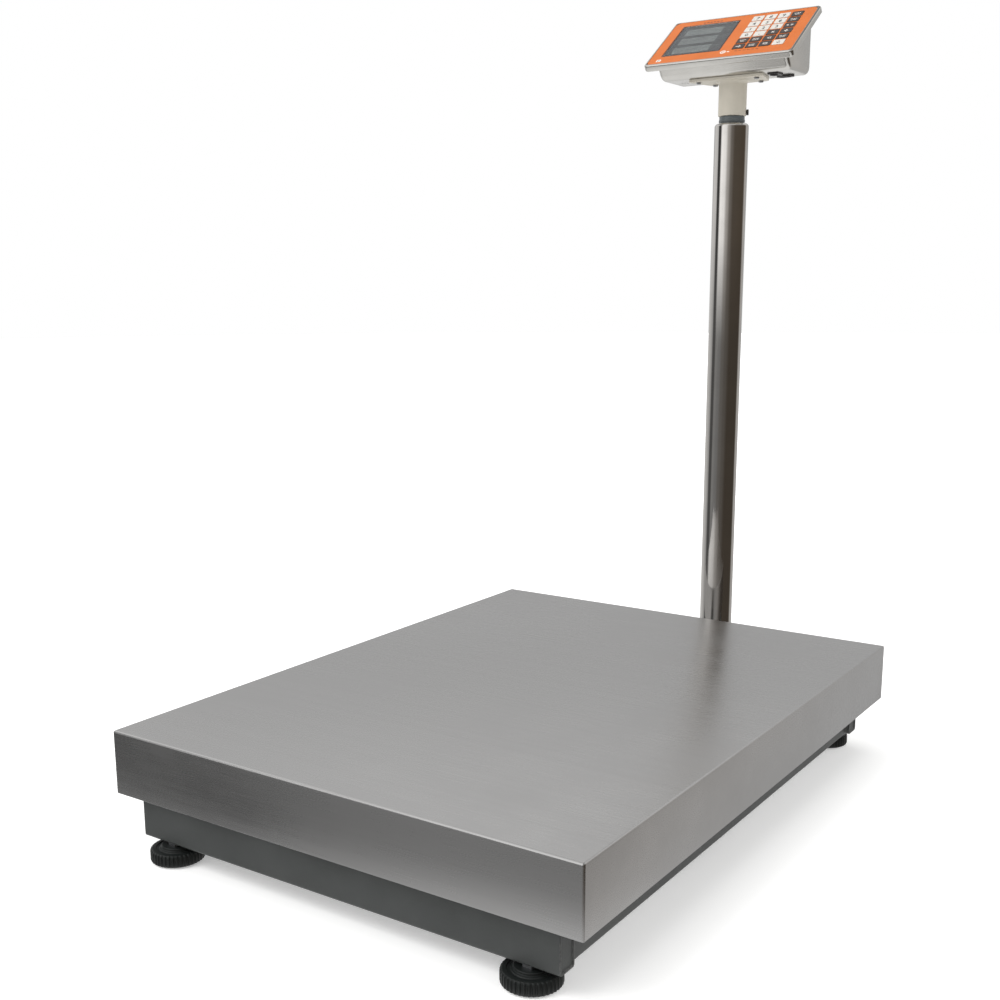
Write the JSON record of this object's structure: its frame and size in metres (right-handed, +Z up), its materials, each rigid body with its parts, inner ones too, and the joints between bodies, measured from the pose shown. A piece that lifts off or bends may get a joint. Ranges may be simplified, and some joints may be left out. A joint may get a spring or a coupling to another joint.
{
  "type": "platform scale",
  "caption": "Floor-standing platform scale: stainless tray on a load-cell frame with levelling feet, and a column carrying a swivelling price-computing keypad and display head.",
  "frame": {"origin": "under the middle of the whole object, on the floor that its feet stand on", "axes": "+Z up, +Y from the user's side to the column, +X to the user's right"},
  "size_m": [0.6, 0.9698, 0.9959],
  "materials": {
    "frame_paint": "satin dark grey paint",
    "cell_aluminium": "milled, clear anodised",
    "zinc_steel": "zinc plated",
    "polished_steel": "polished stainless tube",
    "bush_plastic": "dark grey moulded",
    "rubber_black": "matt",
    "tray_steel": "fine satin stainless sheet",
    "neck_plastic": "cream moulded",
    "screw_black": "blackened",
    "cover_steel": "satin stainless sheet",
    "overlay_orange": "printed polyester film",
    "window_lens": "smoked clear",
    "lcd_glass": "grey-green liquid-crystal glass",
    "circuit_board": "green solder mask",
    "battery_wrap": "shrink wrap",
    "display_plastic": "smoked",
    "switch_plastic": "black moulded",
    "foot_plastic": "black moulded",
    "key_white": "printed film",
    "key_dark": "printed film"
  },
  "bodies": {
    "base": {"base_frame": "frame_paint", "load_cell": "cell_aluminium", "cell_bolts_lower": "zinc_steel", "stop_screws": "zinc_steel", "foot_lock_nuts": "zinc_steel", "column_bracket": "frame_paint", "bracket_bolts": "zinc_steel", "column_pipe": "polished_steel", "neck_bush": "bush_plastic"},
    "sole_front_left": {"foot_sole_front_left": "rubber_black"},
    "foot_front_left": {"foot_front_left": "foot_plastic"},
    "sole_front_right": {"foot_sole_front_right": "rubber_black"},
    "foot_front_right": {"foot_front_right": "foot_plastic"},
    "sole_rear_left": {"foot_sole_rear_left": "rubber_black"},
    "foot_rear_left": {"foot_rear_left": "foot_plastic"},
    "sole_rear_right": {"foot_sole_rear_right": "rubber_black"},
    "foot_rear_right": {"foot_rear_right": "foot_plastic"},
    "platform": {"weighing_frame": "frame_paint", "cell_bolts_upper": "zinc_steel", "tray_pads": "rubber_black"},
    "tray": {"tray": "tray_steel"},
    "head": {"neck": "neck_plastic", "neck_screws": "zinc_steel", "rear_housing": "cover_steel", "front_bezel": "cover_steel", "overlay": "overlay_orange", "display_window": "window_lens", "front_lcd": "lcd_glass", "keypad_board": "circuit_board", "main_board": "circuit_board", "battery": "battery_wrap", "rear_display": "display_plastic", "switch_body": "switch_plastic", "power_socket": "switch_plastic"},
    "lock_screw": {"lock_screw": "screw_black"},
    "rocker": {"rocker": "switch_plastic"},
    "key_1_1": {"key_1_1": "key_white"},
    "key_1_2": {"key_1_2": "key_white"},
    "key_1_3": {"key_1_3": "key_white"},
    "key_1_4": {"key_1_4": "key_dark"},
    "key_2_1": {"key_2_1": "key_white"},
    "key_2_2": {"key_2_2": "key_white"},
    "key_2_3": {"key_2_3": "key_white"},
    "key_2_4": {"key_2_4": "key_dark"},
    "key_3_1": {"key_3_1": "key_white"},
    "key_3_2": {"key_3_2": "key_white"},
    "key_3_3": {"key_3_3": "key_white"},
    "key_3_4": {"key_3_4": "key_dark"},
    "key_4_1": {"key_4_1": "key_white"},
    "key_4_2": {"key_4_2": "key_white"},
    "key_4_3": {"key_4_3": "key_dark"},
    "key_4_4": {"key_4_4": "key_dark"},
    "key_5_1": {"key_5_1": "key_dark"},
    "key_5_2": {"key_5_2": "key_dark"},
    "key_5_3": {"key_5_3": "key_dark"},
    "key_5_4": {"key_5_4": "key_dark"},
    "key_6_1": {"key_6_1": "key_dark"},
    "key_6_2": {"key_6_2": "key_dark"},
    "key_6_3": {"key_6_3": "key_dark"},
    "key_6_4": {"key_6_4": "key_white"}
  },
  "joints": [
    {"name": "foot_front_left_height", "type": "slide", "parent": "base", "child": "sole_front_left", "axis": [0, 0, -1], "range_m": [0, 0.0121]},
    {"name": "foot_front_left_turn", "type": "hinge", "parent": "sole_front_left", "child": "foot_front_left", "pos_m": [-0.2325, -0.45513, 0], "axis": [0, 0, -1], "range_deg": [0, 2880]},
    {"name": "foot_front_right_height", "type": "slide", "parent": "base", "child": "sole_front_right", "axis": [0, 0, -1], "range_m": [0, 0.0121]},
    {"name": "foot_front_right_turn", "type": "hinge", "parent": "sole_front_right", "child": "foot_front_right", "pos_m": [0.2325, -0.45513, 0], "axis": [0, 0, -1], "range_deg": [0, 2880]},
    {"name": "foot_rear_left_height", "type": "slide", "parent": "base", "child": "sole_rear_left", "axis": [0, 0, -1], "range_m": [0, 0.0121]},
    {"name": "foot_rear_left_turn", "type": "hinge", "parent": "sole_rear_left", "child": "foot_rear_left", "pos_m": [-0.2325, 0.29687, 0], "axis": [0, 0, -1], "range_deg": [0, 2880]},
    {"name": "foot_rear_right_height", "type": "slide", "parent": "base", "child": "sole_rear_right", "axis": [0, 0, -1], "range_m": [0, 0.0121]},
    {"name": "foot_rear_right_turn", "type": "hinge", "parent": "sole_rear_right", "child": "foot_rear_right", "pos_m": [0.2325, 0.29687, 0], "axis": [0, 0, -1], "range_deg": [0, 2880]},
    {"name": "weigh", "type": "slide", "parent": "base", "child": "platform", "axis": [0, 0, -1], "range_m": [0, 0.001], "stiffness_N_per_m": 2000000, "springref_m": -0.00008, "deforming": ["load_cell"]},
    {"name": "tray_lift", "type": "slide", "parent": "platform", "child": "tray", "axis": [0, 0, 1], "range_m": [0, 0.15]},
    {"name": "head_swivel", "type": "hinge", "parent": "base", "child": "head", "pos_m": [0, 0.44047, 0.9045], "axis": [0, 0, 1], "range_deg": [-170, 170]},
    {"name": "lock_screw_turn", "type": "hinge", "parent": "head", "child": "lock_screw", "pos_m": [0, 0.44047, 0.858], "axis": [0.9397, 0.342, 0], "range_deg": [0, 720]},
    {"name": "rocker_tilt", "type": "hinge", "parent": "head", "child": "rocker", "pos_m": [0.0674, 0.42997, 0.905], "axis": [-1, 0, 0], "range_deg": [0, 20]},
    {"name": "key_1_1_press", "type": "slide", "parent": "head", "child": "key_1_1", "axis": [0, 0.5807, -0.8141], "range_m": [0, 0.0005], "stiffness_N_per_m": 3000, "springref_m": -0.0003},
    {"name": "key_1_2_press", "type": "slide", "parent": "head", "child": "key_1_2", "axis": [0, 0.5807, -0.8141], "range_m": [0, 0.0005], "stiffness_N_per_m": 3000, "springref_m": -0.0003},
    {"name": "key_1_3_press", "type": "slide", "parent": "head", "child": "key_1_3", "axis": [0, 0.5807, -0.8141], "range_m": [0, 0.0005], "stiffness_N_per_m": 3000, "springref_m": -0.0003},
    {"name": "key_1_4_press", "type": "slide", "parent": "head", "child": "key_1_4", "axis": [0, 0.5807, -0.8141], "range_m": [0, 0.0005], "stiffness_N_per_m": 3000, "springref_m": -0.0003},
    {"name": "key_2_1_press", "type": "slide", "parent": "head", "child": "key_2_1", "axis": [0, 0.5807, -0.8141], "range_m": [0, 0.0005], "stiffness_N_per_m": 3000, "springref_m": -0.0003},
    {"name": "key_2_2_press", "type": "slide", "parent": "head", "child": "key_2_2", "axis": [0, 0.5807, -0.8141], "range_m": [0, 0.0005], "stiffness_N_per_m": 3000, "springref_m": -0.0003},
    {"name": "key_2_3_press", "type": "slide", "parent": "head", "child": "key_2_3", "axis": [0, 0.5807, -0.8141], "range_m": [0, 0.0005], "stiffness_N_per_m": 3000, "springref_m": -0.0003},
    {"name": "key_2_4_press", "type": "slide", "parent": "head", "child": "key_2_4", "axis": [0, 0.5807, -0.8141], "range_m": [0, 0.0005], "stiffness_N_per_m": 3000, "springref_m": -0.0003},
    {"name": "key_3_1_press", "type": "slide", "parent": "head", "child": "key_3_1", "axis": [0, 0.5807, -0.8141], "range_m": [0, 0.0005], "stiffness_N_per_m": 3000, "springref_m": -0.0003},
    {"name": "key_3_2_press", "type": "slide", "parent": "head", "child": "key_3_2", "axis": [0, 0.5807, -0.8141], "range_m": [0, 0.0005], "stiffness_N_per_m": 3000, "springref_m": -0.0003},
    {"name": "key_3_3_press", "type": "slide", "parent": "head", "child": "key_3_3", "axis": [0, 0.5807, -0.8141], "range_m": [0, 0.0005], "stiffness_N_per_m": 3000, "springref_m": -0.0003},
    {"name": "key_3_4_press", "type": "slide", "parent": "head", "child": "key_3_4", "axis": [0, 0.5807, -0.8141], "range_m": [0, 0.0005], "stiffness_N_per_m": 3000, "springref_m": -0.0003},
    {"name": "key_4_1_press", "type": "slide", "parent": "head", "child": "key_4_1", "axis": [0, 0.5807, -0.8141], "range_m": [0, 0.0005], "stiffness_N_per_m": 3000, "springref_m": -0.0003},
    {"name": "key_4_2_press", "type": "slide", "parent": "head", "child": "key_4_2", "axis": [0, 0.5807, -0.8141], "range_m": [0, 0.0005], "stiffness_N_per_m": 3000, "springref_m": -0.0003},
    {"name": "key_4_3_press", "type": "slide", "parent": "head", "child": "key_4_3", "axis": [0, 0.5807, -0.8141], "range_m": [0, 0.0005], "stiffness_N_per_m": 3000, "springref_m": -0.0003},
    {"name": "key_4_4_press", "type": "slide", "parent": "head", "child": "key_4_4", "axis": [0, 0.5807, -0.8141], "range_m": [0, 0.0005], "stiffness_N_per_m": 3000, "springref_m": -0.0003},
    {"name": "key_5_1_press", "type": "slide", "parent": "head", "child": "key_5_1", "axis": [0, 0.5807, -0.8141], "range_m": [0, 0.0005], "stiffness_N_per_m": 3000, "springref_m": -0.0003},
    {"name": "key_5_2_press", "type": "slide", "parent": "head", "child": "key_5_2", "axis": [0, 0.5807, -0.8141], "range_m": [0, 0.0005], "stiffness_N_per_m": 3000, "springref_m": -0.0003},
    {"name": "key_5_3_press", "type": "slide", "parent": "head", "child": "key_5_3", "axis": [0, 0.5807, -0.8141], "range_m": [0, 0.0005], "stiffness_N_per_m": 3000, "springref_m": -0.0003},
    {"name": "key_5_4_press", "type": "slide", "parent": "head", "child": "key_5_4", "axis": [0, 0.5807, -0.8141], "range_m": [0, 0.0005], "stiffness_N_per_m": 3000, "springref_m": -0.0003},
    {"name": "key_6_1_press", "type": "slide", "parent": "head", "child": "key_6_1", "axis": [0, 0.5807, -0.8141], "range_m": [0, 0.0005], "stiffness_N_per_m": 3000, "springref_m": -0.0003},
    {"name": "key_6_2_press", "type": "slide", "parent": "head", "child": "key_6_2", "axis": [0, 0.5807, -0.8141], "range_m": [0, 0.0005], "stiffness_N_per_m": 3000, "springref_m": -0.0003},
    {"name": "key_6_3_press", "type": "slide", "parent": "head", "child": "key_6_3", "axis": [0, 0.5807, -0.8141], "range_m": [0, 0.0005], "stiffness_N_per_m": 3000, "springref_m": -0.0003},
    {"name": "key_6_4_press", "type": "slide", "parent": "head", "child": "key_6_4", "axis": [0, 0.5807, -0.8141], "range_m": [0, 0.0005], "stiffness_N_per_m": 3000, "springref_m": -0.0003}
  ],
  "couplings": [
    {"joint": "foot_front_left_height", "follows": "foot_front_left_turn", "m_per_rad": 0.00023873},
    {"joint": "foot_front_right_height", "follows": "foot_front_right_turn", "m_per_rad": 0.00023873},
    {"joint": "foot_rear_left_height", "follows": "foot_rear_left_turn", "m_per_rad": 0.00023873},
    {"joint": "foot_rear_right_height", "follows": "foot_rear_right_turn", "m_per_rad": 0.00023873}
  ]
}
